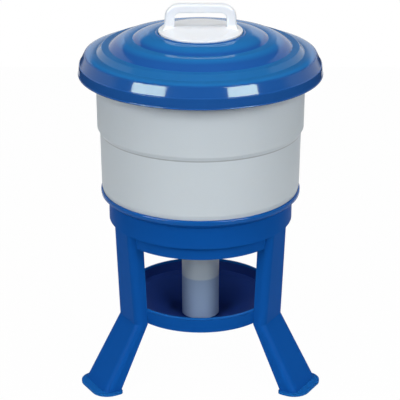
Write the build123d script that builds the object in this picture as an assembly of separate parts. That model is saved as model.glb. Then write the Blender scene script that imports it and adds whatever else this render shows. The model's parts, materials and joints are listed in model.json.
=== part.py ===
# Poultry drinker: a tank on a three-legged stand that feeds a round drinking bowl through
# a down tube, filled from above through a screw cap that also works the outlet valve.
# Millimetres, +Z up, origin on the ground at the drinker's axis, front towards -Y.
import os
from math import cos, hypot, pi, sin

from build123d import *

# Fits between pieces
seat_gap = 0.2                  # between two slanting or round faces that rest on each other
pass_gap = 0.4                  # between pieces that are lifted past each other
turn_gap = 0.3                  # between pieces that move past each other
shaft_gap = 0.08                # radial play of the valve rod in its guide

# Tank, an open bucket with a rim flange
tank_wall = 3.0
tank_lower_r = 179.3            # outer radius just under the step
tank_draft = 1.6                # the lower wall narrows by this towards its heel
tank_step_in = 4.7              # the wall steps in by this
tank_upper_draft = 1.5          # the upper wall widens by this towards the rim
tank_height_above_seat = 244.2  # from the seat's top edge to the top of the rim flange
tank_step_rise = 118.2          # top of the step above the seat's top edge
tank_step_drop = 9.5
tank_heel_rise = 9.2            # where the wall starts to turn under
tank_flange_reach = 15.5
tank_flange_thick = 4.0
tank_floor_edge_in = 21.5       # the rounded bottom edge lies this far inside the seat
tank_floor_edge_drop = 20.0
tank_floor_drop = 36.0          # from the seat's foot to the underside of the flat floor
tank_floor_flat_r = 64.0
tank_bottom_round = 14.0
tank_heel_round = 5.0
tank_rim_round = 1.5

# Stand ring, which the tank sits in
ring_wall = 3.5
ring_foot_z = 271.0             # lowest edge of the ring above the ground
ring_skirt_height = 25.5
ring_skirt_draft = 1.8
ring_skirt_inset = 10.2         # the skirt stands this far inside the band
ring_band_height = 38.4
ring_flare_height = 10.4
ring_lip_height = 7.5
ring_lip_thick = 2.8
ring_lip_reach = 13.2           # the lip stands out from the band by this
seat_heel_in = 1.9              # the tank turns under by this where it meets the lip

# Stand legs, channels that open towards the axis
leg_count = 3
leg_wall = 3.5
leg_corner_r = 13.0
leg_top_inset = 2.2             # the leg's face stands this far inside the ring's band
leg_top_depth = 26.5
leg_top_half = 33.0             # half width
knee_drop = 1.0                 # the knee lies this far under the hoop
knee_reach = 17.4               # how far the knee stands out from the hoop's foot
knee_depth = 21.5
knee_half = 38.0
foot_splay = 68.5               # how far the leg runs outwards from the knee to the foot
leg_foot_depth = 31.0
leg_foot_half = 43.0
foot_thick = 4.5
foot_toe = 14.5                 # how far the foot plate stands out from the leg
foot_side = 6.0
foot_heel = 3.0
foot_corner_r = 30.0
foot_heel_r = 8.0

# Hoop of the stand, which the drinking bowl hangs in
hoop_foot_z = 122.0
hoop_height = 24.5
hoop_wall = 2.6
hoop_draft = 2.6
hoop_rim_out = 1.2              # the hoop stands out from the bowl's rim by this
hoop_ledge_in = 11.8            # the ledge under the bowl reaches this far in
hoop_ledge_thick = 2.5

# Drinking bowl
bowl_rim_r = 137.2
bowl_rim_height = 3.8
bowl_rim_round = 1.7
bowl_wall = 2.5
bowl_shelf_rise = 3.0           # the floor's outer edge above the hoop's ledge
bowl_slope_foot_r = 64.0
bowl_depth = 57.0               # from the rim to the inside of the middle
bowl_dish = 6.0                 # the middle lies this much under the foot of the slope
bowl_heel_round = 2.0
bowl_dish_round = 40.0

# Down tube, which hangs from the tank's floor and ends in the bowl
tube_r = 34.25
tube_wall = 2.6
tube_floor_gap = 8.0            # from the bowl's middle to the tube's foot
tube_flange_reach = 12.75
tube_flange_thick = 4.0
tube_notch_count = 3            # notches in the back of the tube's foot let the water out
tube_notch_width = 16.0
tube_notch_height = 24.0
valve_seat_width = 9.65         # the flange reaches this far into the tube, under the valve
tube_gasket_thick = 2.0
nut_reach = 9.75                # from the tube's wall to the nut's flats
nut_sides = 8
nut_height = 12.0

# Lid, a domed roof in three tiers with a skirt that hangs over the tank's rim
lid_wall = 3.0
lid_gasket_thick = 2.5
lid_gasket_width = 12.0
lid_rim_play = 3.4              # between the tank's flange and the lid's shoulder
lid_roof = [                    # share of the way from the pocket to the rim, and rise
    (0.790, 0.0),
    (0.768, 10.8),
    (0.667, 12.3),
    (0.658, 15.3),
    (0.560, 21.7),
    (0.448, 25.8),
    (0.344, 27.3),
    (0.335, 30.3),
    (0.229, 34.6),
    (0.114, 37.2),
]
lid_roof_rounds = [1.0, 2.0, 0.8, 0.8, 110.0, 0.8, 0.8, 0.8, 110.0, 0.8]
lid_rim_round = 2.5
lid_shoulder_drop = 17.5
lid_shoulder_out = 9.0
lid_step_out = 1.0              # the skirt stands out from the shoulder by this
lid_skirt_drop = 19.4
lid_skirt_out = 1.9
lid_lip_round = 1.0
lid_pocket_play = 0.8           # round the cap's disc
lid_pocket_edge_rise = 39.8
lid_pocket_depth = 4.6
neck_ledge = 15.9               # from the cap's edge in to the neck's bore
neck_length = 24.5
lug_count = 6                   # snap lugs that hook under the tank's flange
lug_angle = 16.0
lug_height = 5.0
lug_hook = 2.0                  # how far a lug reaches in under the flange

# Fill cap with its handle
cap_r = 73.9
cap_edge_thick = 3.5
cap_edge_round = 1.3
cap_gable_inset = 3.0
cap_gable_rise = 7.5
cap_gable_hip = 25.0            # the gable's ends slope down over this length
cap_wall = 3.5
cap_gasket_thick = 2.0
cap_gasket_width = 12.0
cap_skirt_wall = 3.0
cap_skirt_length = 21.0
cap_boss_r = 7.0
cap_boss_length = 14.0
handle_height = 46.4            # above the cap's edge
handle_foot_inset = 9.7         # the handle's foot stands this far inside the cap's edge
handle_lean = 3.7               # each post leans in by this
handle_depth = 18.0
handle_bar = 15.3
handle_post = 19.0
handle_corner_r = 25.0
handle_window_r = 10.0
handle_edge_r = 4.0
handle_root_height = 9.0
handle_root_out = 5.0
handle_root_taper = 28.0

# Outlet valve, pushed open by the cap and raised by its spring while the cap is off
valve_travel = 12.0
rod_r = 4.0
rod_button_r = 9.0
rod_button_thick = 4.0
rod_collar_thick = 3.0
disc_overlap = 5.0              # the disc reaches past the opening by this
disc_thick = 5.0
disc_plate_thick = 2.5
guide_ring_width = 8.0
guide_ring_thick = 3.0
guide_hub_r = 9.0
guide_height = 16.0
guide_arm_count = 4
guide_arm_thick = 4.0
spring_wire_r = 1.1
spring_length = 24.0            # with the cap screwed in
spring_turns = 5
spring_steps = 12               # straight lengths that draw each turn of the coil

# Heights and radii that follow from the sizes above
band_foot_z = ring_foot_z + ring_skirt_height
band_top_z = band_foot_z + ring_band_height
lip_foot_z = band_top_z + ring_flare_height
seat_z = lip_foot_z + ring_lip_height
tank_heel_r = tank_lower_r - tank_draft
seat_r = tank_heel_r - seat_heel_in + seat_gap
lip_r = seat_r + ring_lip_thick
band_r = lip_r - ring_lip_reach
skirt_r = band_r - ring_skirt_inset
seat_foot_r = band_r - ring_wall
hoop_top_z = hoop_foot_z + hoop_height
hoop_top_r = bowl_rim_r + hoop_rim_out
hoop_foot_r = hoop_top_r - hoop_draft
ledge_z = hoop_foot_z + hoop_ledge_thick
bowl_top_z = hoop_top_z + seat_gap + bowl_rim_height
bowl_middle_z = bowl_top_z - bowl_depth
tank_rim_z = seat_z + tank_height_above_seat
tank_step_z = seat_z + tank_step_rise
tank_upper_r = tank_lower_r + tank_step_in
tank_rim_r = tank_upper_r + tank_upper_draft + tank_flange_reach
tank_floor_z = band_top_z - tank_floor_drop
tank_floor_top_z = tank_floor_z + tank_wall
valve_bore_r = tube_r - tube_wall - valve_seat_width
flange_z = tank_floor_top_z + tube_gasket_thick
flange_top_z = flange_z + tube_flange_thick
lid_z = tank_rim_z + lid_gasket_thick + lid_wall
lid_band_r = tank_rim_r + lid_rim_play
lid_edge_r = lid_band_r + lid_shoulder_out
lid_edge_z = lid_z - lid_shoulder_drop
neck_bore_r = cap_r - neck_ledge
pocket_z = lid_z + lid_pocket_edge_rise - lid_pocket_depth
cap_z = pocket_z + cap_gasket_thick
cap_top_z = cap_z + cap_edge_thick
cap_boss_foot_z = cap_top_z - cap_boss_length
handle_half_foot = cap_r - handle_foot_inset
handle_half_top = handle_half_foot - handle_lean
rod_top_z = cap_boss_foot_z - turn_gap
disc_top_z = flange_z - turn_gap - valve_travel
spring_foot_z = flange_top_z + guide_height
collar_z = spring_foot_z + spring_length


def profile(points, rounds=None):
    """A face in the X-Z plane through (radius, height) points, with some corners rounded."""
    outline = [Vector(x, 0, z) for x, z in points]
    face = Face(Wire.make_polygon(outline, close=True))
    for (x, z), radius in (rounds or {}).items():
        corner = min(face.vertices(), key=lambda v: (v.X - x) ** 2 + (v.Z - z) ** 2)
        face = face.fillet_2d(radius, [corner])
    return face


def turned(points, rounds=None):
    """The solid that the profile sweeps round the Z axis."""
    return revolve(profile(points, rounds), Axis.Z)


def ring_between(inner_r, outer_r, low_z, high_z):
    """A plain ring round the Z axis."""
    return turned([(inner_r, low_z), (outer_r, low_z), (outer_r, high_z), (inner_r, high_z)])


def round_copies(shape, count, start=0.0):
    """Copies of the shape at equal steps round the Z axis."""
    return [shape.rotate(Axis.Z, start + 360.0 * i / count) for i in range(count)]


def moved_sideways(points, gap):
    """The line through the points moved to its left by the gap, with sharp corners."""
    moved = []
    for before, (x, z), after in zip(points[:1] + points[:-1], points, points[1:] + points[-1:]):
        steps = [(x - before[0], z - before[1]), (after[0] - x, after[1] - z)]
        sides = [(-dz / hypot(dx, dz), dx / hypot(dx, dz)) for dx, dz in steps if hypot(dx, dz) > 0]
        first, last = sides[0], sides[-1]
        reach = gap / (1 + first[0] * last[0] + first[1] * last[1])
        moved.append((x + reach * (first[0] + last[0]), z + reach * (first[1] + last[1])))
    return moved


def make_tank():
    """Bucket with a stepped wall, a bottom that turns under into the stand, and an outlet hole."""
    wall = tank_wall
    top_r = tank_upper_r + tank_upper_draft
    under_z = tank_rim_z - tank_flange_thick
    edge_r = seat_foot_r - tank_floor_edge_in
    edge_z = band_top_z - tank_floor_edge_drop
    outer = [
        (tank_floor_flat_r, tank_floor_z),
        (edge_r, edge_z),
        (seat_foot_r - seat_gap, band_top_z),
        (seat_r - seat_gap, seat_z),
        (tank_heel_r, seat_z + tank_heel_rise),
        (tank_lower_r, tank_step_z - tank_step_drop),
        (tank_upper_r, tank_step_z),
        (top_r, under_z),
        (tank_rim_r, under_z),
        (tank_rim_r, tank_rim_z),
    ]
    inner = [
        (top_r - wall, tank_rim_z),
        (tank_upper_r - wall, tank_step_z - wall / 2),
        (tank_lower_r - wall, tank_step_z - tank_step_drop - wall / 2),
        (tank_heel_r - wall, seat_z + tank_heel_rise),
        (seat_r - wall, seat_z + wall / 2),
        (seat_foot_r - wall, band_top_z + wall / 2),
        (edge_r - wall / 2, edge_z + wall),
        (tank_floor_flat_r, tank_floor_top_z),
    ]
    hole_r = tube_r + turn_gap
    floor = [(hole_r, tank_floor_top_z), (hole_r, tank_floor_z)]
    rounds = {
        outer[1]: tank_bottom_round,
        outer[3]: tank_heel_round,
        outer[9]: tank_rim_round,
        inner[6]: tank_bottom_round - wall / 2,
    }
    return turned(outer + inner + floor, rounds)


def channel(depth_in, reach, half, corner_r, z):
    """The rounded outline of one level of a leg, from depth_in out to reach along +X."""
    depth = reach - depth_in
    outline = Rectangle(depth, 2 * half)
    corners = outline.vertices().sort_by(Axis.X)[-2:]
    outline = fillet(corners, corner_r)
    return Location((depth_in + depth / 2, 0, z)) * outline.face()


def make_leg():
    """One leg along +X: a channel that drops to the knee, splays out, and ends in a foot plate."""
    top_out = band_r - leg_top_inset
    knee_z = hoop_foot_z - knee_drop
    knee_out = hoop_foot_r + knee_reach
    foot_out = knee_out + foot_splay
    levels = [
        (top_out - leg_top_depth, top_out, leg_top_half, band_foot_z + ring_wall),
        (knee_out - knee_depth, knee_out, knee_half, knee_z),
        (foot_out - leg_foot_depth, foot_out, leg_foot_half, foot_thick),
    ]
    solid = None
    hollow = None
    for upper, lower in zip(levels, levels[1:]):
        outer = [channel(a, b, half, leg_corner_r, z) for a, b, half, z in (upper, lower)]
        inner = [
            channel(a - leg_wall, b - leg_wall, half - leg_wall, leg_corner_r - leg_wall, z)
            for a, b, half, z in (upper, lower)
        ]
        solid = loft(outer, ruled=True) + solid if solid else loft(outer, ruled=True)
        hollow = loft(inner, ruled=True) + hollow if hollow else loft(inner, ruled=True)
    plate_out = foot_out + foot_toe
    plate_in = foot_out - leg_foot_depth - foot_heel
    plate = Rectangle(plate_out - plate_in, 2 * (leg_foot_half + foot_side))
    corners = plate.vertices().sort_by(Axis.X)
    plate = fillet(corners[-2:], foot_corner_r)
    plate = fillet(plate.vertices().sort_by(Axis.X)[:2], foot_heel_r)
    plate = Location(((plate_out + plate_in) / 2, 0, 0)) * extrude(plate, foot_thick)
    return solid - hollow + plate


def make_stand():
    """Ring, legs and hoop in one moulding, bored so that the bowl lifts out upwards."""
    wall = ring_wall
    ring = turned([
        (skirt_r - ring_skirt_draft - wall, ring_foot_z),
        (skirt_r - ring_skirt_draft, ring_foot_z),
        (skirt_r, band_foot_z),
        (band_r, band_foot_z),
        (band_r, band_top_z),
        (lip_r, lip_foot_z),
        (lip_r, seat_z),
        (seat_r, seat_z),
        (seat_foot_r, band_top_z),
        (seat_foot_r, band_foot_z + wall),
        (skirt_r - wall, band_foot_z + wall),
    ])
    hoop = turned([
        (hoop_foot_r - hoop_wall - hoop_ledge_in, hoop_foot_z),
        (hoop_foot_r, hoop_foot_z),
        (hoop_top_r, hoop_top_z),
        (hoop_top_r - hoop_wall, hoop_top_z),
        (hoop_foot_r - hoop_wall, ledge_z),
        (hoop_foot_r - hoop_wall - hoop_ledge_in, ledge_z),
    ])
    bore_r = bowl_rim_r + pass_gap
    bore = turned([
        (0, ledge_z),
        (hoop_foot_r - hoop_wall, ledge_z),
        (hoop_top_r - hoop_wall, hoop_top_z),
        (bore_r, hoop_top_z),
        (bore_r, seat_z),
        (0, seat_z),
    ])
    stand = ring
    for leg in round_copies(make_leg(), leg_count, start=90):
        stand = stand + leg
    return stand + hoop - bore


def make_bowl():
    """Round dish whose rim rests on the hoop."""
    wall = bowl_wall
    rim_foot_z = bowl_top_z - bowl_rim_height
    side_top_r = hoop_top_r - hoop_wall - pass_gap
    side_foot_r = hoop_foot_r - hoop_wall - pass_gap
    shelf_r = hoop_foot_r - hoop_wall - hoop_ledge_in - pass_gap
    side_foot_z = ledge_z + seat_gap
    shelf_z = side_foot_z + bowl_shelf_rise
    slope_foot_z = bowl_middle_z + bowl_dish
    points = [
        (0, bowl_middle_z - wall),
        (bowl_slope_foot_r, slope_foot_z - wall),
        (shelf_r, side_foot_z),
        (side_foot_r, side_foot_z),
        (side_top_r, rim_foot_z),
        (bowl_rim_r, rim_foot_z),
        (bowl_rim_r, bowl_top_z),
        (side_top_r - wall, bowl_top_z),
        (side_foot_r - wall, shelf_z + wall),
        (shelf_r - wall, shelf_z),
        (bowl_slope_foot_r, slope_foot_z),
        (0, bowl_middle_z),
    ]
    rounds = {
        points[6]: bowl_rim_round,
        points[7]: bowl_rim_round,
        points[3]: bowl_heel_round,
        points[1]: bowl_dish_round,
        points[10]: bowl_dish_round,
    }
    return turned(points, rounds)


def make_down_tube():
    """Tube with a top flange, the valve's opening inside it, and notches in its foot."""
    bore = tube_r - tube_wall
    foot_z = bowl_middle_z + tube_floor_gap
    tube = turned([
        (bore, foot_z),
        (tube_r, foot_z),
        (tube_r, flange_z),
        (tube_r + tube_flange_reach, flange_z),
        (tube_r + tube_flange_reach, flange_top_z),
        (valve_bore_r, flange_top_z),
        (valve_bore_r, flange_z),
        (bore, flange_z),
    ])
    notch = Box(2 * tube_r, tube_notch_width, 2 * tube_notch_height)
    notch = Location((tube_r + tube_wall, 0, foot_z)) * notch
    step = 180.0 / tube_notch_count
    for index in range(tube_notch_count):
        tube = tube - notch.rotate(Axis.Z, step * (index + 0.5))
    return tube


def make_tube_nut():
    """Eight-sided nut that clamps the tube's flange to the tank's floor from below."""
    nut = extrude(RegularPolygon(tube_r + nut_reach, nut_sides, major_radius=False), -nut_height)
    nut = nut - Cylinder(tube_r + shaft_gap, 4 * nut_height)
    return Location((0, 0, tank_floor_z)) * nut


def make_lid():
    """Tiered roof with a filling neck, a hanging skirt and snap lugs inside it."""
    wall = lid_wall
    pocket_r = cap_r + lid_pocket_play
    pocket_edge_z = lid_z + lid_pocket_edge_rise
    lip_z = lid_edge_z - lid_skirt_drop
    skirt = [(lid_edge_r + lid_skirt_out, lip_z), (lid_edge_r, lid_edge_z)]
    shoulder = [(lid_edge_r - lid_step_out, lid_edge_z + lid_step_out), (lid_band_r, lid_z)]
    roof = [(pocket_r + share * (lid_band_r - pocket_r), lid_z + rise) for share, rise in lid_roof]
    outside = skirt + shoulder + roof + [(pocket_r, pocket_edge_z)]
    inside = moved_sideways(outside, wall)
    inside[0] = (inside[0][0], lip_z)
    inside[-1] = (pocket_r + wall, pocket_edge_z - wall)
    neck = [(pocket_r, pocket_z), (neck_bore_r, pocket_z), (neck_bore_r, pocket_z - neck_length)]
    neck += [(neck_bore_r + wall, pocket_z - neck_length), (neck_bore_r + wall, pocket_z - wall)]
    neck += [(pocket_r + wall, pocket_z - wall)]
    rounds = dict(zip(roof, lid_roof_rounds))
    rounds[skirt[0]] = lid_lip_round
    rounds[shoulder[1]] = lid_rim_round
    lid = turned(outside + neck + inside[::-1], rounds)
    hook_z = tank_rim_z - tank_flange_thick - turn_gap
    inner_r = tank_rim_r - lug_hook
    root_r = lid_band_r + lid_shoulder_out * (lid_z - hook_z) / lid_shoulder_drop - wall / 2
    lug = revolve(profile([
        (inner_r, hook_z),
        (inner_r, hook_z - lug_height / 2),
        (root_r, hook_z - lug_height),
        (root_r, hook_z),
    ]), Axis.Z, revolution_arc=lug_angle)
    for copy in round_copies(lug, lug_count, start=-lug_angle / 2):
        lid = lid + copy
    return lid


def make_lid_gasket():
    """Flat ring between the tank's flange and the lid."""
    outer_r = tank_rim_r - turn_gap
    return ring_between(outer_r - lid_gasket_width, outer_r, tank_rim_z, tank_rim_z + lid_gasket_thick)


def make_handle():
    """Arched grip along X with softened edges, wider where it grows out of the cap."""
    top_z = cap_top_z + handle_height
    arch = profile(
        [
            (-handle_half_foot, cap_top_z),
            (handle_half_foot, cap_top_z),
            (handle_half_top, top_z),
            (-handle_half_top, top_z),
        ],
        {(handle_half_top, top_z): handle_corner_r, (-handle_half_top, top_z): handle_corner_r},
    )
    window_half = handle_half_foot - handle_post
    window_top_z = top_z - handle_bar
    window = profile(
        [
            (-window_half, cap_top_z - 1),
            (window_half, cap_top_z - 1),
            (window_half, window_top_z),
            (-window_half, window_top_z),
        ],
        {(window_half, window_top_z): handle_window_r, (-window_half, window_top_z): handle_window_r},
    )
    arch = extrude(arch, handle_depth / 2, dir=(0, 1, 0), both=True)
    arch = arch - extrude(window, handle_depth, dir=(0, 1, 0), both=True)
    side_edges = [
        edge
        for edge in arch.edges()
        if abs(abs(edge.center().Y) - handle_depth / 2) < 0.01 and edge.center().Z > cap_top_z + 0.5
    ]
    arch = fillet(side_edges, handle_edge_r)
    for side in (-1, 1):
        root = Rectangle(handle_post + handle_root_out, handle_depth + 2 * handle_root_out)
        root = extrude(fillet(root.vertices(), handle_edge_r), handle_root_height, taper=handle_root_taper)
        arch = arch + Location((side * (handle_half_foot - handle_post / 2), 0, cap_top_z)) * root
    return arch


def make_fill_cap():
    """Disc with a low gable, a screw skirt that hangs in the neck, and the handle on top."""
    gable_r = cap_r - cap_gable_inset
    disc = turned(
        [(0, cap_z), (cap_r, cap_z), (cap_r, cap_top_z), (0, cap_top_z)],
        {(cap_r, cap_top_z): cap_edge_round},
    )
    gable = Face(Wire.make_polygon([
        Vector(0, -gable_r, cap_top_z - 1),
        Vector(0, gable_r, cap_top_z - 1),
        Vector(0, gable_r, cap_top_z),
        Vector(0, 0, cap_top_z + cap_gable_rise),
        Vector(0, -gable_r, cap_top_z),
    ], close=True))
    gable = extrude(gable, gable_r, dir=(1, 0, 0), both=True)
    hip = Cone(gable_r + cap_gable_hip, gable_r - cap_gable_hip, 2 * cap_gable_rise)
    gable = gable & Location((0, 0, cap_top_z)) * (hip & Cylinder(gable_r, 4 * cap_gable_rise))
    skirt_r = neck_bore_r - turn_gap
    skirt = ring_between(skirt_r - cap_skirt_wall, skirt_r, cap_z - cap_skirt_length, cap_z + 1)
    hollow = ring_between(0, skirt_r - cap_skirt_wall, cap_z - 1, cap_top_z + cap_gable_rise - cap_wall)
    hollow_roof = Face(Wire.make_polygon([
        Vector(0, -gable_r, cap_z - 1),
        Vector(0, gable_r, cap_z - 1),
        Vector(0, gable_r, cap_top_z - cap_wall),
        Vector(0, 0, cap_top_z + cap_gable_rise - cap_wall),
        Vector(0, -gable_r, cap_top_z - cap_wall),
    ], close=True))
    hollow = hollow & extrude(hollow_roof, gable_r, dir=(1, 0, 0), both=True)
    boss_top_z = cap_top_z + cap_gable_rise - cap_wall / 2
    boss = ring_between(0, cap_boss_r, cap_boss_foot_z, boss_top_z)
    return disc + gable + skirt - hollow + boss + make_handle()


def make_cap_gasket():
    """Flat ring between the lid's pocket and the cap's disc."""
    outer_r = cap_r - turn_gap
    return ring_between(outer_r - cap_gasket_width, outer_r, pocket_z, cap_z)


def make_valve_rod():
    """Rod with a button under the cap, a collar over the spring and a plate under the disc."""
    plate_z = disc_top_z - disc_thick
    plate_r = valve_bore_r - turn_gap
    return turned([
        (0, plate_z - disc_plate_thick),
        (plate_r, plate_z - disc_plate_thick),
        (plate_r, plate_z),
        (rod_r, plate_z),
        (rod_r, collar_z),
        (guide_hub_r, collar_z),
        (guide_hub_r, collar_z + rod_collar_thick),
        (rod_r, collar_z + rod_collar_thick),
        (rod_r, rod_top_z - rod_button_thick),
        (rod_button_r, rod_top_z - rod_button_thick),
        (rod_button_r, rod_top_z),
        (0, rod_top_z),
    ])


def make_valve_disc():
    """Rubber disc that lies on the rod's plate and shuts the opening when it is raised."""
    return ring_between(rod_r + shaft_gap, valve_bore_r + disc_overlap, disc_top_z - disc_thick, disc_top_z)


def make_valve_guide():
    """Spider on the tube's flange that keeps the rod upright and carries the spring."""
    ring_r = tube_r
    guide = ring_between(ring_r - guide_ring_width, ring_r, flange_top_z, flange_top_z + guide_ring_thick)
    guide = guide + ring_between(rod_r + shaft_gap, guide_hub_r, flange_top_z, spring_foot_z)
    arm_profile = profile([
        (guide_hub_r - 1, flange_top_z),
        (ring_r - 1, flange_top_z),
        (ring_r - 1, flange_top_z + guide_ring_thick),
        (guide_hub_r - 1, flange_top_z + guide_height - 2),
    ])
    arm = extrude(arm_profile, guide_arm_thick / 2, dir=(0, 1, 0), both=True)
    for copy in round_copies(arm, guide_arm_count):
        guide = guide + copy
    return guide


def make_valve_spring():
    """Compression spring between the guide's hub and the rod's collar, in short straight lengths."""
    coil_r = guide_hub_r - spring_wire_r - turn_gap
    inset = spring_wire_r + turn_gap
    rise = (spring_length - 2 * inset) / (spring_turns * spring_steps)
    turn = 2 * pi / spring_steps
    points = [
        Vector(coil_r * cos(turn * i), coil_r * sin(turn * i), spring_foot_z + inset + rise * i)
        for i in range(spring_turns * spring_steps + 1)
    ]
    section = Plane(origin=points[0], z_dir=points[1] - points[0]) * RegularPolygon(spring_wire_r, 6)
    return sweep(section, Wire.make_polygon(points, close=False), transition=Transition.RIGHT)


pieces = {
    "tank": make_tank,
    "stand": make_stand,
    "drinking_bowl": make_bowl,
    "down_tube": make_down_tube,
    "tube_nut": make_tube_nut,
    "tube_gasket": lambda: ring_between(
        tube_r + turn_gap, tube_r + tube_flange_reach - turn_gap, tank_floor_top_z, flange_z
    ),
    "lid": make_lid,
    "lid_gasket": make_lid_gasket,
    "fill_cap": make_fill_cap,
    "cap_gasket": make_cap_gasket,
    "valve_rod": make_valve_rod,
    "valve_disc": make_valve_disc,
    "valve_guide": make_valve_guide,
    "valve_spring": make_valve_spring,
}

os.makedirs("parts", exist_ok=True)
for node, make in pieces.items():
    shape = make()
    export_step(shape, f"parts/{node}.step")
    print(node, len(shape.solids()), "solid", round(shape.volume / 1000, 1), "cubic centimetres")
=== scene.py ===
import json
import math

import bpy
import numpy as np
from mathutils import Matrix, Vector


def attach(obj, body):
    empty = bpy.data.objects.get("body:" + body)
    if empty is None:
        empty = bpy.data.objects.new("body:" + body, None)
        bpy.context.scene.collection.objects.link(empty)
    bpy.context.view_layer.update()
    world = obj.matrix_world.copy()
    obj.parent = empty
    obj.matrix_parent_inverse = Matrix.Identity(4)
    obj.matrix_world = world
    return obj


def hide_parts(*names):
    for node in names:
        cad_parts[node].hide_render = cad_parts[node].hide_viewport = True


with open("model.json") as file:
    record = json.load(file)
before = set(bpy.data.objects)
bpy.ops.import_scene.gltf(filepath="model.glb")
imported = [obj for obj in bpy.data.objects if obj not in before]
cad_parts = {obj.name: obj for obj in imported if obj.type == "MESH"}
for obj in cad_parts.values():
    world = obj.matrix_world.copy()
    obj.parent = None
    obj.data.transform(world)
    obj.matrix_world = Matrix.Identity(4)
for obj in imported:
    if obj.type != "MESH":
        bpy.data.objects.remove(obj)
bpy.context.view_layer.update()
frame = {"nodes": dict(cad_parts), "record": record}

print("stage: frame loaded")

# Blender works in metres. The outlines of turned pieces are written in millimetres as
# (radius from the drinker's axis, height above the ground, round of the corner).


def newMaterial(name):
    material = bpy.data.materials.new(name)
    material.use_nodes = True
    tree = material.node_tree
    shader = tree.nodes["Principled BSDF"]
    return material, tree, shader


def newGroup(name, inputs, outputs):
    # Inputs are (kind, name, value); outputs are (kind, name)
    group = bpy.data.node_groups.new(name, "ShaderNodeTree")
    for kind, label, value in inputs:
        socket = group.interface.new_socket(name=label, in_out="INPUT", socket_type="NodeSocket" + kind)
        if value is not None:
            socket.default_value = value
    for kind, label in outputs:
        group.interface.new_socket(name=label, in_out="OUTPUT", socket_type="NodeSocket" + kind)
    return group, group.nodes.new("NodeGroupInput"), group.nodes.new("NodeGroupOutput")


def makeMouldedSkinGroup():
    # Fine orange-peel of a moulded face as a normal, with slow patches of polish for the roughness
    group, entry, leave = newGroup("mouldedSkin", [
        ("Float", "Peel Size", 220.0),
        ("Float", "Peel Depth", 0.05),
        ("Float", "Roughness Low", 0.25),
        ("Float", "Roughness High", 0.35),
    ], [("Float", "Roughness"), ("Vector", "Normal")])
    nodes, links = group.nodes, group.links
    coords = nodes.new("ShaderNodeTexCoord")
    peel = nodes.new("ShaderNodeTexNoise")
    peel.inputs["Detail"].default_value = 2.0
    bump = nodes.new("ShaderNodeBump")
    bump.inputs["Distance"].default_value = 0.0006
    patches = nodes.new("ShaderNodeTexNoise")
    patches.inputs["Scale"].default_value = 9.0
    patches.inputs["Detail"].default_value = 4.0
    spread = nodes.new("ShaderNodeMapRange")
    links.new(coords.outputs["Object"], peel.inputs["Vector"])
    links.new(coords.outputs["Object"], patches.inputs["Vector"])
    links.new(entry.outputs["Peel Size"], peel.inputs["Scale"])
    links.new(peel.outputs["Fac"], bump.inputs["Height"])
    links.new(entry.outputs["Peel Depth"], bump.inputs["Strength"])
    links.new(patches.outputs["Fac"], spread.inputs["Value"])
    links.new(entry.outputs["Roughness Low"], spread.inputs["To Min"])
    links.new(entry.outputs["Roughness High"], spread.inputs["To Max"])
    links.new(spread.outputs["Result"], leave.inputs["Roughness"])
    links.new(bump.outputs["Normal"], leave.inputs["Normal"])
    return group


def makeFlowToneGroup():
    # Slow change of tone where the plastic flowed in the mould, between two colours
    group, entry, leave = newGroup("flowTone", [
        ("Color", "Colour", None),
        ("Color", "Second Colour", None),
        ("Float", "Size", 4.0),
    ], [("Color", "Colour")])
    nodes, links = group.nodes, group.links
    coords = nodes.new("ShaderNodeTexCoord")
    stretch = nodes.new("ShaderNodeMapping")
    stretch.inputs["Scale"].default_value = (1.0, 1.0, 0.35)
    noise = nodes.new("ShaderNodeTexNoise")
    noise.inputs["Detail"].default_value = 5.0
    noise.inputs["Distortion"].default_value = 0.6
    mix = nodes.new("ShaderNodeMix")
    mix.data_type = "RGBA"
    links.new(coords.outputs["Object"], stretch.inputs["Vector"])
    links.new(stretch.outputs["Vector"], noise.inputs["Vector"])
    links.new(entry.outputs["Size"], noise.inputs["Scale"])
    links.new(noise.outputs["Fac"], mix.inputs["Factor"])
    links.new(entry.outputs["Colour"], mix.inputs["A"])
    links.new(entry.outputs["Second Colour"], mix.inputs["B"])
    links.new(mix.outputs["Result"], leave.inputs["Colour"])
    return group


def makeEdgeRubAndHighlightGroup():
    # A mask of the edges, where the rounded normal leaves the true one, broken up by a noise:
    # the edges are painted paler, partly as rubbed wear and partly as a painted highlight along them
    group, entry, leave = newGroup("edgeRubAndHighlight", [
        ("Float", "Width", 0.0012),
        ("Float", "Strength", 0.3),
    ], [("Float", "Mask")])
    nodes, links = group.nodes, group.links
    rounded = nodes.new("ShaderNodeBevel")
    rounded.samples = 4
    true = nodes.new("ShaderNodeNewGeometry")
    compare = nodes.new("ShaderNodeVectorMath")
    compare.operation = "DOT_PRODUCT"
    away = nodes.new("ShaderNodeMapRange")
    away.inputs["From Min"].default_value = 0.985
    away.inputs["From Max"].default_value = 0.8
    coords = nodes.new("ShaderNodeTexCoord")
    noise = nodes.new("ShaderNodeTexNoise")
    noise.inputs["Scale"].default_value = 55.0
    noise.inputs["Detail"].default_value = 4.0
    broken = nodes.new("ShaderNodeMath")
    broken.operation = "MULTIPLY"
    strong = nodes.new("ShaderNodeMath")
    strong.operation = "MULTIPLY"
    links.new(entry.outputs["Width"], rounded.inputs["Radius"])
    links.new(rounded.outputs["Normal"], compare.inputs[0])
    links.new(true.outputs["Normal"], compare.inputs[1])
    links.new(compare.outputs["Value"], away.inputs["Value"])
    links.new(coords.outputs["Object"], noise.inputs["Vector"])
    links.new(away.outputs["Result"], broken.inputs[0])
    links.new(noise.outputs["Fac"], broken.inputs[1])
    links.new(broken.outputs[0], strong.inputs[0])
    links.new(entry.outputs["Strength"], strong.inputs[1])
    links.new(strong.outputs[0], leave.inputs["Mask"])
    return group


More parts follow.
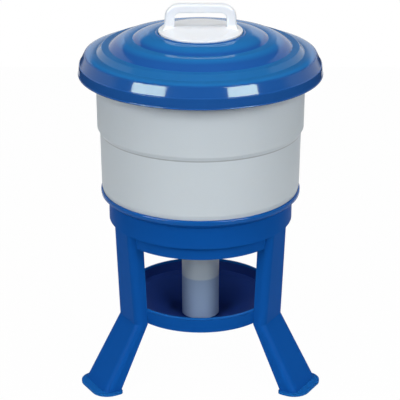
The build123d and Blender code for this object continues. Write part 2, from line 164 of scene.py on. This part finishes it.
def makeUpFacingLightGroup():
    # A mask of the faces that look upwards, which are painted lighter as painted light from above: it
    # follows the face's lean
    group, entry, leave = newGroup("upFacingLight", [
        ("Float", "Start", 0.86),
        ("Float", "Full", 0.99),
    ], [("Float", "Mask")])
    nodes, links = group.nodes, group.links
    face = nodes.new("ShaderNodeNewGeometry")
    axes = nodes.new("ShaderNodeSeparateXYZ")
    lean = nodes.new("ShaderNodeMapRange")
    lean.interpolation_type = "SMOOTHSTEP"
    links.new(face.outputs["Normal"], axes.inputs["Vector"])
    links.new(axes.outputs["Z"], lean.inputs["Value"])
    links.new(entry.outputs["Start"], lean.inputs["From Min"])
    links.new(entry.outputs["Full"], lean.inputs["From Max"])
    links.new(lean.outputs["Result"], leave.inputs["Mask"])
    return group


def makeHeightBandGroup():
    # A mask of the height between two soft ends, for painting a crease shade, a highlight or another tone
    group, entry, leave = newGroup("heightBand", [
        ("Float", "Low", 0.0),
        ("Float", "High", 1.0),
        ("Float", "Softness", 0.001),
    ], [("Float", "Mask")])
    nodes, links = group.nodes, group.links
    coords = nodes.new("ShaderNodeTexCoord")
    axes = nodes.new("ShaderNodeSeparateXYZ")
    links.new(coords.outputs["Object"], axes.inputs["Vector"])
    ends = []
    height = axes.outputs["Z"]
    for upper, lower in ((height, entry.outputs["Low"]), (entry.outputs["High"], height)):
        above = nodes.new("ShaderNodeMath")
        above.operation = "SUBTRACT"
        links.new(upper, above.inputs[0])
        links.new(lower, above.inputs[1])
        share = nodes.new("ShaderNodeMath")
        share.operation = "DIVIDE"
        share.use_clamp = True
        links.new(above.outputs[0], share.inputs[0])
        links.new(entry.outputs["Softness"], share.inputs[1])
        ends.append(share.outputs[0])
    both = nodes.new("ShaderNodeMath")
    both.operation = "MULTIPLY"
    links.new(ends[0], both.inputs[0])
    links.new(ends[1], both.inputs[1])
    links.new(both.outputs[0], leave.inputs["Mask"])
    return group


mouldedSkin = makeMouldedSkinGroup()
flowTone = makeFlowToneGroup()
edgeRubAndHighlight = makeEdgeRubAndHighlightGroup()
upFacingLight = makeUpFacingLightGroup()
heightBand = makeHeightBandGroup()


def placeGroup(tree, group, values):
    node = tree.nodes.new("ShaderNodeGroup")
    node.node_tree = group
    for label, value in values.items():
        node.inputs[label].default_value = value
    return node


def mixInColour(tree, colour, mask, second):
    # The colour so far, with the second one laid over it where the mask says
    mix = tree.nodes.new("ShaderNodeMix")
    mix.data_type = "RGBA"
    mix.inputs["B"].default_value = (*second, 1.0)
    tree.links.new(mask, mix.inputs["Factor"])
    tree.links.new(colour, mix.inputs["A"])
    return mix.outputs["Result"]


def plasticMaterial(name, look):
    material, tree, shader = newMaterial(name)
    skin = placeGroup(tree, mouldedSkin, {
        "Peel Size": look["peelSize"],
        "Peel Depth": look["peelDepth"],
        "Roughness Low": look["roughness"][0],
        "Roughness High": look["roughness"][1],
    })
    tone = placeGroup(tree, flowTone, {
        "Colour": (*look["colour"], 1.0),
        "Second Colour": (*look["secondColour"], 1.0),
        "Size": look["toneSize"],
    })
    colour = tone.outputs["Colour"]
    # Upward faces painted lighter and greener: painted light from above
    if "upFacingLitColour" in look:
        upLight = placeGroup(tree, upFacingLight, {})
        colour = mixInColour(tree, colour, upLight.outputs["Mask"], look["upFacingLitColour"])
    for low, high, softness, bandColour in look.get("bands", []):
        band = placeGroup(tree, heightBand, {"Low": low, "High": high, "Softness": softness})
        colour = mixInColour(tree, colour, band.outputs["Mask"], bandColour)
    # Edges painted paler: partly rubbed wear, partly a painted highlight along the edges
    rubAndHighlight = placeGroup(tree, edgeRubAndHighlight, {"Width": look["rubAndHighlightWidth"], "Strength": look["rubAndHighlight"]})
    colour = mixInColour(tree, colour, rubAndHighlight.outputs["Mask"], look["rubbedAndHighlightColour"])
    tree.links.new(colour, shader.inputs["Base Color"])
    tree.links.new(skin.outputs["Roughness"], shader.inputs["Roughness"])
    tree.links.new(skin.outputs["Normal"], shader.inputs["Normal"])
    shader.inputs["Specular IOR Level"].default_value = look["shine"]
    shader.inputs["IOR"].default_value = look["ior"]
    shader.inputs["Specular Tint"].default_value = (*look.get("tint", (1.0, 1.0, 1.0)), 1.0)
    if "glow" in look:
        shader.inputs["Subsurface Weight"].default_value = look["glow"]
        shader.inputs["Subsurface Radius"].default_value = (0.012, 0.014, 0.016)
        shader.inputs["Subsurface Scale"].default_value = 0.4
    return material


# A band is (low, high, softness, colour), in metres above the ground
finishes = {
    "stand_blue": {"colour": (0.004, 0.086, 0.375), "secondColour": (0.005, 0.092, 0.39), "toneSize": 5.0,
                   "shine": 0.012, "ior": 1.45, "roughness": (0.36, 0.45),
                   "peelSize": 260.0, "peelDepth": 0.08,
                   # On the stand the paler azure edges are mainly a painted highlight
                   "rubAndHighlight": 0.6, "rubAndHighlightWidth": 0.0022, "rubbedAndHighlightColour": (0.012, 0.17, 0.47),
                   # The band below 5.2 mm paints the foot plates a lighter azure: painted highlight on
                   # their rims
                   "bands": [(-1.0, 0.0052, 0.001, (0.01, 0.135, 0.45))]},
    # A darker copy of the stand's blue, which paints the shade inside the bowl; the band above 146.5 mm
    # paints the rim lighter, with its highlight
    "bowl_blue": {"colour": (0.02, 0.055, 0.27), "secondColour": (0.023, 0.06, 0.29), "toneSize": 6.0,
                  "shine": 0.03, "ior": 1.45, "roughness": (0.3, 0.4), "peelSize": 260.0, "peelDepth": 0.06,
                  "rubAndHighlight": 0.3, "rubAndHighlightWidth": 0.0015, "rubbedAndHighlightColour": (0.02, 0.12, 0.4),
                  "bands": [(0.1465, 1.0, 0.001, (0.006, 0.12, 0.45))]},
    "lid_blue": {"colour": (0.012, 0.086, 0.32), "secondColour": (0.014, 0.09, 0.33), "toneSize": 4.0,
                 # Its upward faces get a lighter, greener blue painted on as light from above
                 "upFacingLitColour": (0.014, 0.155, 0.43), "shine": 0.22, "ior": 1.5, "roughness": (0.06, 0.1),
                 "tint": (0.82, 1.0, 0.8), "peelSize": 180.0, "peelDepth": 0.02,
                 "rubAndHighlight": 0.05, "rubAndHighlightWidth": 0.001, "rubbedAndHighlightColour": (0.05, 0.25, 0.6),
                 # The band 2 to 12.5 mm above the rim paints the outer riser a lighter blue: painted
                 # highlight
                 "bands": [(0.6045, 0.615, 0.001, (0.016, 0.132, 0.36))]},
    "tank_grey": {"colour": (0.625, 0.695, 0.745), "secondColour": (0.645, 0.71, 0.76), "toneSize": 3.0,
                  "shine": 0.22, "ior": 1.45, "roughness": (0.42, 0.5),
                  "peelSize": 320.0, "peelDepth": 0.12, "glow": 0.15,
                  "rubAndHighlight": 0.15, "rubAndHighlightWidth": 0.0015, "rubbedAndHighlightColour": (0.7, 0.74, 0.76),
                  # The band at 461 to 464.5 mm is a darker line painted in the crease of the tank's step:
                  # painted shade
                  "bands": [(0.461, 0.4645, 0.0012, (0.42, 0.46, 0.49))]},
    # Darker and bluer than the tank's plastic: painted shade and painted blue light from the bowl; the band
    # above 177 mm paints the upper part lighter and greyer
    "tube_grey": {"colour": (0.31, 0.425, 0.61), "secondColour": (0.32, 0.44, 0.63), "toneSize": 6.0,
                  "shine": 0.3, "ior": 1.45, "roughness": (0.35, 0.42),
                  "peelSize": 300.0, "peelDepth": 0.1,
                  "rubAndHighlight": 0.2, "rubAndHighlightWidth": 0.001, "rubbedAndHighlightColour": (0.6, 0.66, 0.74),
                  "bands": [(0.177, 0.9, 0.003, (0.52, 0.61, 0.68))]},
    "cap_white": {"colour": (0.79, 0.82, 0.86), "secondColour": (0.81, 0.84, 0.88), "toneSize": 6.0,
                  "shine": 0.35, "ior": 1.45, "roughness": (0.28, 0.36),
                  "peelSize": 260.0, "peelDepth": 0.08,
                  "glow": 0.3, "rubAndHighlight": 0.2, "rubAndHighlightWidth": 0.001, "rubbedAndHighlightColour": (0.86, 0.88, 0.9)},
    "inner_plastic": {"colour": (0.6, 0.62, 0.63), "secondColour": (0.63, 0.65, 0.66), "toneSize": 8.0,
                      "shine": 0.4, "ior": 1.45, "roughness": (0.4, 0.5),
                      "peelSize": 320.0, "peelDepth": 0.1,
                      "rubAndHighlight": 0.2, "rubAndHighlightWidth": 0.001, "rubbedAndHighlightColour": (0.7, 0.71, 0.72)},
    "rubber": {"colour": (0.02, 0.02, 0.021), "secondColour": (0.03, 0.03, 0.03), "toneSize": 20.0,
               "shine": 0.3, "ior": 1.45, "roughness": (0.6, 0.75), "peelSize": 500.0, "peelDepth": 0.25,
               "rubAndHighlight": 0.3, "rubAndHighlightWidth": 0.001, "rubbedAndHighlightColour": (0.07, 0.07, 0.07)},
    "spring_steel": {"colour": (0.55, 0.55, 0.54), "secondColour": (0.6, 0.6, 0.58), "toneSize": 60.0,
                     "shine": 0.5, "ior": 1.45, "roughness": (0.22, 0.32),
                     "peelSize": 900.0, "peelDepth": 0.1,
                     "rubAndHighlight": 0.1, "rubAndHighlightWidth": 0.0003, "rubbedAndHighlightColour": (0.7, 0.7, 0.69)},
}
materials = {slotName: plasticMaterial(slotName, look) for slotName, look in finishes.items()}
materials["spring_steel"].node_tree.nodes["Principled BSDF"].inputs["Metallic"].default_value = 1.0

for part in frame["record"]["subparts"]:
    node = frame["nodes"][part["node"]]
    node.data.materials.clear()
    node.data.materials.append(materials[part["material_slot"]])
    for polygon in node.data.polygons:
        polygon.material_index = 0
print("stage: materials")


def cornerRound(before, corner, after, radius, steps=7):
    # The arc that replaces a corner: the circle that touches both lines, walked in equal
    # angles, with one more point just before and just after it so that the flats stay flat
    toBefore = (before - corner) / np.linalg.norm(before - corner)
    toAfter = (after - corner) / np.linalg.norm(after - corner)
    halfAngle = math.acos(np.clip(np.dot(toBefore, toAfter), -1.0, 1.0)) / 2
    reach = radius / math.tan(halfAngle)
    middle = toBefore + toAfter
    centre = corner + middle / np.linalg.norm(middle) * radius / math.sin(halfAngle)
    start = corner + toBefore * reach - centre
    end = corner + toAfter * reach - centre
    first = math.atan2(start[1], start[0])
    turn = (math.atan2(end[1], end[0]) - first + math.pi) % (2 * math.pi) - math.pi
    angles = first + turn * np.linspace(0.0, 1.0, steps)
    arc = centre + radius * np.stack([np.cos(angles), np.sin(angles)], axis=1)
    edge = reach + 0.25
    return np.vstack([corner + toBefore * edge, arc, corner + toAfter * edge])


def roundedOutline(corners):
    # A closed outline in metres from (radius, height, round) corners in millimetres
    corners = np.array(corners, dtype=float)
    points = corners[:, :2]
    before, after = np.roll(points, 1, axis=0), np.roll(points, -1, axis=0)
    runs = [
        cornerRound(a, b, c, radius) if radius > 0 else b[None]
        for a, b, c, radius in zip(before, points, after, corners[:, 2])
    ]
    return np.vstack(runs) * 0.001


def bowedLine(start, pull, end, steps=14):
    # From start to end, bowed towards the pull point: (1-t)^2 start + 2t(1-t) pull + t^2 end
    t = np.linspace(0.0, 1.0, steps)[:, None]
    line = (1 - t) ** 2 * np.array(start) + 2 * t * (1 - t) * np.array(pull) + t ** 2 * np.array(end)
    return [(radius, height, 0.0) for radius, height in line]


def movedInwards(line, gap):
    # The open line moved to its left by the gap, each point along the half-way direction of
    # its two neighbouring runs
    points = np.array(line, dtype=float)[:, :2]
    runs = np.diff(points, axis=0)
    runs /= np.linalg.norm(runs, axis=1)[:, None]
    left = np.stack([-runs[:, 1], runs[:, 0]], axis=1)
    first, last = np.vstack([left[:1], left]), np.vstack([left, left[-1:]])
    share = gap / (1 + np.sum(first * last, axis=1))
    return points + share[:, None] * (first + last)


def addPiece(name, points, faces, slotName, body):
    mesh = bpy.data.meshes.new(name)
    mesh.from_pydata(points.tolist(), [], faces.tolist())
    mesh.polygons.foreach_set("use_smooth", np.ones(len(faces), dtype=bool))
    mesh.materials.append(materials[slotName])
    piece = bpy.data.objects.new(name, mesh)
    bpy.context.scene.collection.objects.link(piece)
    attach(piece, body)
    return piece


def turnedGrid(outline, angles):
    # The outline carried round the axis: x = radius cos a, y = radius sin a, z = height
    return np.stack([
        np.outer(np.cos(angles), outline[:, 0]),
        np.outer(np.sin(angles), outline[:, 0]),
        np.broadcast_to(outline[:, 1], (len(angles), len(outline))),
    ], axis=2).reshape(-1, 3)


def gridFaces(rings, steps, closed):
    # Quads between neighbouring rings and neighbouring points of the outline, which is closed
    ring = np.arange(rings if closed else rings - 1)[:, None]
    step = np.arange(steps)[None, :]
    nextRing, nextStep = (ring + 1) % rings, (step + 1) % steps
    here, there = ring * steps, nextRing * steps
    return np.stack([here + step, there + step, there + nextStep, here + nextStep], axis=2).reshape(-1, 4)


def turnedPiece(name, outline, turnSteps, slotName, body):
    angles = np.linspace(0.0, 2 * math.pi, turnSteps, endpoint=False)
    faces = gridFaces(turnSteps, len(outline), True)
    return addPiece(name, turnedGrid(outline, angles), faces, slotName, body)


lidShape = {
    "rimHeight": 602.5,             # top of the rim at its outer edge
    "wall": 3.0,
    "turnSteps": 288,
    "beadRadius": 1.1,              # rolled bead on the skirt's lower edge
    "beadCentre": (214.9, -35.8),
    "skirtFoot": -36.9,
    "neckOuterRadius": 77.7,
    "gasketTop": -3.0,              # the underside lies flat on the gasket between these radii
    "gasketRadii": (183.0, 203.0),
}


def lidOutline():
    # Walked up the skirt, over the rim and the three tiers, down the pocket and the neck, and
    # back under the roof. Heights here count from the rim.
    bead, foot, neckOuter = lidShape["beadRadius"], lidShape["skirtFoot"], lidShape["neckOuterRadius"]
    beadX, beadZ = lidShape["beadCentre"]
    angles = np.radians(np.linspace(-90.0, 78.0, 9))
    beadLine = [(beadX + bead * math.cos(a), beadZ + bead * math.sin(a), 0.0) for a in angles]
    skirt = [(215.0, -33.9, 0.5), (213.7, -18.2, 0.7), (212.1, -16.7, 0.5), (204.6, -0.7, 2.4)]
    rim = bowedLine((203.4, -0.3), (197.5, 2.9), (184.0, 3.0))
    tierOne = [(182.2, 3.0, 1.2), (174.2, 12.0, 2.2), (160.9, 12.0, 0.7)]
    slopeOne = bowedLine((160.2, 12.6), (150.4, 23.4), (133.8, 26.7))
    tierTwo = [(133.0, 26.8, 0.0), (119.0, 26.8, 0.7)]
    slopeTwo = bowedLine((118.2, 27.2), (109.6, 33.6), (91.0, 35.9))
    top = [(90.2, 36.0, 0.0), (78.8, 36.1, 0.4)]
    pocketLip = [(77.4, 37.4, 0.5), (74.7, 37.5, 0.5)]
    outside = skirt + rim + tierOne + slopeOne + tierTwo + slopeTwo + top
    neck = [(74.7, 35.2, 0.3), (58.0, 35.2, 0.8), (58.0, 10.7, 0.8), (61.0, 10.7, 0.8)]
    neck += [(61.0, 32.2, 0.8), (neckOuter, 32.2, 0.5)]
    under = movedInwards([(215.3, foot, 0.0)] + outside[1:], lidShape["wall"])
    inner, outer = lidShape["gasketRadii"]
    onGasket = (under[:, 0] > inner) & (under[:, 0] < outer) & (under[:, 1] > 2 * lidShape["gasketTop"])
    under[onGasket, 1] = lidShape["gasketTop"]
    under[0, 1] = foot
    under[-1] = (neckOuter, 33.2)
    inside = [(radius, height, 0.0) for radius, height in under[::-1]]
    corners = np.array(beadLine + outside + pocketLip + neck + inside)
    corners[:, 1] += lidShape["rimHeight"]
    return roundedOutline(corners)


lidSkin = turnedPiece("lidSkin", lidOutline(), lidShape["turnSteps"], "lid_blue", "drinker")
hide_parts("lid")

lugShape = {
    "count": 6,
    "angle": 16.0,
    "steps": 9,
    "corners": [(199.0, 592.7), (199.0, 590.2), (208.1, 587.7), (208.1, 592.7)],
}


def addLugs():
    # Snap hooks inside the skirt: a short piece of the same turn, closed by a face at each end
    outline = np.array(lugShape["corners"]) * 0.001
    half = math.radians(lugShape["angle"]) / 2
    steps = lugShape["steps"]
    body = gridFaces(steps, 4, False)
    last = 4 * (steps - 1)
    ends = np.array([[0, 1, 2, 3], [last + 3, last + 2, last + 1, last]])
    places = np.arange(lugShape["count"]) * 2 * math.pi / lugShape["count"]
    points = [turnedGrid(outline, np.linspace(place - half, place + half, steps)) for place in places]
    faces = [np.vstack([body, ends]) + index * 4 * steps for index in range(lugShape["count"])]
    lugs = addPiece("lidLugs", np.vstack(points), np.vstack(faces), "lid_blue", "drinker")
    lugs.data.polygons.foreach_set("use_smooth", np.zeros(len(lugs.data.polygons), dtype=bool))


addLugs()

ringBeadShape = [(176.5, 344.9, 0.0), (179.3, 345.1, 1.2), (179.8, 353.7, 3.0), (176.5, 353.8, 0.0)]
# The bead's look: smoother and glossier than the stand, with a lighter blue painted on as the lip's
# highlight
ringBeadHighlightLook = {
    **finishes["stand_blue"],
    "colour": (0.006, 0.11, 0.4),
    "shine": 0.12,
    "roughness": (0.12, 0.16),
    "rubAndHighlight": 0.1,
}
ringBead = turnedPiece("ringBead", roundedOutline(ringBeadShape), 224, "stand_blue", "drinker")
ringBead.data.materials[0] = plasticMaterial("ringBeadPaintedHighlight", ringBeadHighlightLook)    # glossier lip, painted a lighter blue as its highlight
print("stage: lid and beads")

floorSettings = {
    "halfWidth": 0.9,
    "front": -0.75,
    "back": 1.9,
    "colour": (0.72, 0.72, 0.72),
    "paper": 0.985,                 # share of plain white in what the eye sees of the paper
}


def seenByEye(tree):
    # 1 for rays of the camera, of glossy reflections and of transmission, else 0
    path = tree.nodes.new("ShaderNodeLightPath")
    either = tree.nodes.new("ShaderNodeMath")
    either.operation = "MAXIMUM"
    anyOfThree = tree.nodes.new("ShaderNodeMath")
    anyOfThree.operation = "MAXIMUM"
    tree.links.new(path.outputs["Is Camera Ray"], either.inputs[0])
    tree.links.new(path.outputs["Is Glossy Ray"], either.inputs[1])
    tree.links.new(either.outputs[0], anyOfThree.inputs[0])
    tree.links.new(path.outputs["Is Transmission Ray"], anyOfThree.inputs[1])
    return anyOfThree.outputs[0]


def addFloor():
    # White paper: most of what is seen of it is its own white, the rest keeps the soft shadow
    half, front, back = floorSettings["halfWidth"], floorSettings["front"], floorSettings["back"]
    corners = [(-half, front, 0), (half, front, 0), (half, back, 0), (-half, back, 0)]
    mesh = bpy.data.meshes.new("floor")
    mesh.from_pydata(corners, [], [(0, 1, 2, 3)])
    floor = bpy.data.objects.new("floor", mesh)
    bpy.context.scene.collection.objects.link(floor)
    material, tree, shader = newMaterial("floorPaper")
    shader.inputs["Base Color"].default_value = (*floorSettings["colour"], 1.0)
    shader.inputs["Roughness"].default_value = 0.9
    shader.inputs["Specular IOR Level"].default_value = 0.1
    white = tree.nodes.new("ShaderNodeEmission")
    share = tree.nodes.new("ShaderNodeMath")
    share.operation = "MULTIPLY"
    share.inputs[1].default_value = floorSettings["paper"]
    blend = tree.nodes.new("ShaderNodeMixShader")
    tree.links.new(seenByEye(tree), share.inputs[0])
    tree.links.new(share.outputs[0], blend.inputs[0])
    tree.links.new(shader.outputs[0], blend.inputs[1])
    tree.links.new(white.outputs[0], blend.inputs[2])
    tree.links.new(blend.outputs[0], tree.nodes["Material Output"].inputs["Surface"])
    mesh.materials.append(material)


addFloor()

lightSettings = {
    "leftWindow": {"at": (-1.83, -1.48, 1.83), "size": (1.45, 1.4), "power": 196.0, "for": "gloss"},
    "rightWindow": {"at": (1.53, -1.75, 1.93), "size": (1.25, 1.4), "power": 185.0, "for": "gloss"},
    "topBox": {"at": (0.0, -0.25, 2.7), "size": (1.8, 1.6), "power": 25.0, "for": "shade"},
    "leftBox": {"at": (-1.65, -2.0, 1.8), "size": (1.4, 1.4), "power": 36.0, "for": "shade"},
    "rightBox": {"at": (1.65, -2.0, 1.8), "size": (1.4, 1.4), "power": 36.0, "for": "shade"},
}
aim = Vector((0.0, 0.0, 0.45))


def addLight(name, values):
    # A light for gloss is only mirrored in the glossy faces, one for shade only lights the colours
    data = bpy.data.lights.new(name, "AREA")
    data.shape = "RECTANGLE"
    data.size, data.size_y = values["size"]
    data.energy = values["power"]
    light = bpy.data.objects.new(name, data)
    light.location = values["at"]
    light.rotation_euler = (aim - light.location).to_track_quat("-Z", "Y").to_euler()
    light.visible_diffuse = values["for"] == "shade"
    light.visible_glossy = values["for"] == "gloss"
    bpy.context.scene.collection.objects.link(light)


for lightName, values in lightSettings.items():
    addLight(lightName, values)

worldSettings = {
    "seen": 1.0,
    "ambient": 0.18,
    "paperTop": 0.225,          # height of the paper's top edge straight behind, as a direction's z
    "paperRise": 0.6,           # how much the edge climbs to the sides, where the panels stand
    "paperEdge": 0.035,
    "paperFoot": -0.1,          # below this the studio's own dark floor is seen
    "room": 0.04,
}


def setWorld():
    # The eye sees plain white; a gloss sees the white paper that hangs behind the drinker, from
    # its foot to its top edge, and a dim room elsewhere; the colours get an even, weak light
    world = bpy.data.worlds.new("studio")
    bpy.context.scene.world = world
    world.use_nodes = True
    tree = world.node_tree
    background = tree.nodes["Background"]
    background.inputs["Color"].default_value = (1.0, 1.0, 1.0, 1.0)
    coords = tree.nodes.new("ShaderNodeTexCoord")
    axes = tree.nodes.new("ShaderNodeSeparateXYZ")
    edge = tree.nodes.new("ShaderNodeMapRange")
    edge.interpolation_type = "SMOOTHSTEP"
    edge.inputs["From Min"].default_value = worldSettings["paperTop"] - worldSettings["paperEdge"]
    edge.inputs["From Max"].default_value = worldSettings["paperTop"] + worldSettings["paperEdge"]
    edge.inputs["To Min"].default_value = worldSettings["seen"]
    edge.inputs["To Max"].default_value = worldSettings["room"]
    aside = tree.nodes.new("ShaderNodeMath")
    aside.operation = "ABSOLUTE"
    climb = tree.nodes.new("ShaderNodeMath")
    climb.operation = "MULTIPLY_ADD"
    climb.inputs[1].default_value = -worldSettings["paperRise"]
    behind = tree.nodes.new("ShaderNodeMapRange")
    behind.inputs["From Min"].default_value = -0.1
    behind.inputs["From Max"].default_value = 0.1
    foot = tree.nodes.new("ShaderNodeMapRange")
    foot.inputs["From Min"].default_value = worldSettings["paperFoot"] - worldSettings["paperEdge"]
    foot.inputs["From Max"].default_value = worldSettings["paperFoot"] + worldSettings["paperEdge"]
    there = tree.nodes.new("ShaderNodeMath")
    there.operation = "MULTIPLY"
    paper = tree.nodes.new("ShaderNodeMix")
    paper.inputs["A"].default_value = worldSettings["room"]
    path = tree.nodes.new("ShaderNodeLightPath")
    gloss = tree.nodes.new("ShaderNodeMix")
    gloss.inputs["A"].default_value = worldSettings["ambient"]
    eye = tree.nodes.new("ShaderNodeMix")
    eye.inputs["B"].default_value = worldSettings["seen"]
    either = tree.nodes.new("ShaderNodeMath")
    either.operation = "MAXIMUM"
    tree.links.new(coords.outputs["Generated"], axes.inputs["Vector"])
    tree.links.new(axes.outputs["X"], aside.inputs[0])
    tree.links.new(aside.outputs[0], climb.inputs[0])
    tree.links.new(axes.outputs["Z"], climb.inputs[2])
    tree.links.new(climb.outputs[0], edge.inputs["Value"])
    tree.links.new(axes.outputs["Y"], behind.inputs["Value"])
    tree.links.new(axes.outputs["Z"], foot.inputs["Value"])
    tree.links.new(behind.outputs["Result"], there.inputs[0])
    tree.links.new(foot.outputs["Result"], there.inputs[1])
    tree.links.new(there.outputs[0], paper.inputs["Factor"])
    tree.links.new(edge.outputs["Result"], paper.inputs["B"])
    tree.links.new(paper.outputs["Result"], gloss.inputs["B"])
    tree.links.new(path.outputs["Is Glossy Ray"], gloss.inputs["Factor"])
    tree.links.new(gloss.outputs["Result"], eye.inputs["A"])
    tree.links.new(path.outputs["Is Camera Ray"], either.inputs[0])
    tree.links.new(path.outputs["Is Transmission Ray"], either.inputs[1])
    tree.links.new(either.outputs[0], eye.inputs["Factor"])
    tree.links.new(eye.outputs["Result"], background.inputs["Strength"])


setWorld()

cameraSettings = {"at": (-0.0009, -2.812, 1.427), "pitchDown": 21.43, "lens": 149.58}


def addCamera():
    data = bpy.data.cameras.new("photoCamera")
    data.lens = cameraSettings["lens"]
    data.sensor_width = 36.0
    data.sensor_fit = "HORIZONTAL"
    camera = bpy.data.objects.new("photoCamera", data)
    camera.location = cameraSettings["at"]
    camera.rotation_euler = (math.radians(90 - cameraSettings["pitchDown"]), 0, 0)
    bpy.context.scene.collection.objects.link(camera)
    bpy.context.scene.camera = camera


addCamera()
bpy.context.scene.view_settings.view_transform = "Standard"
print("stage: studio")
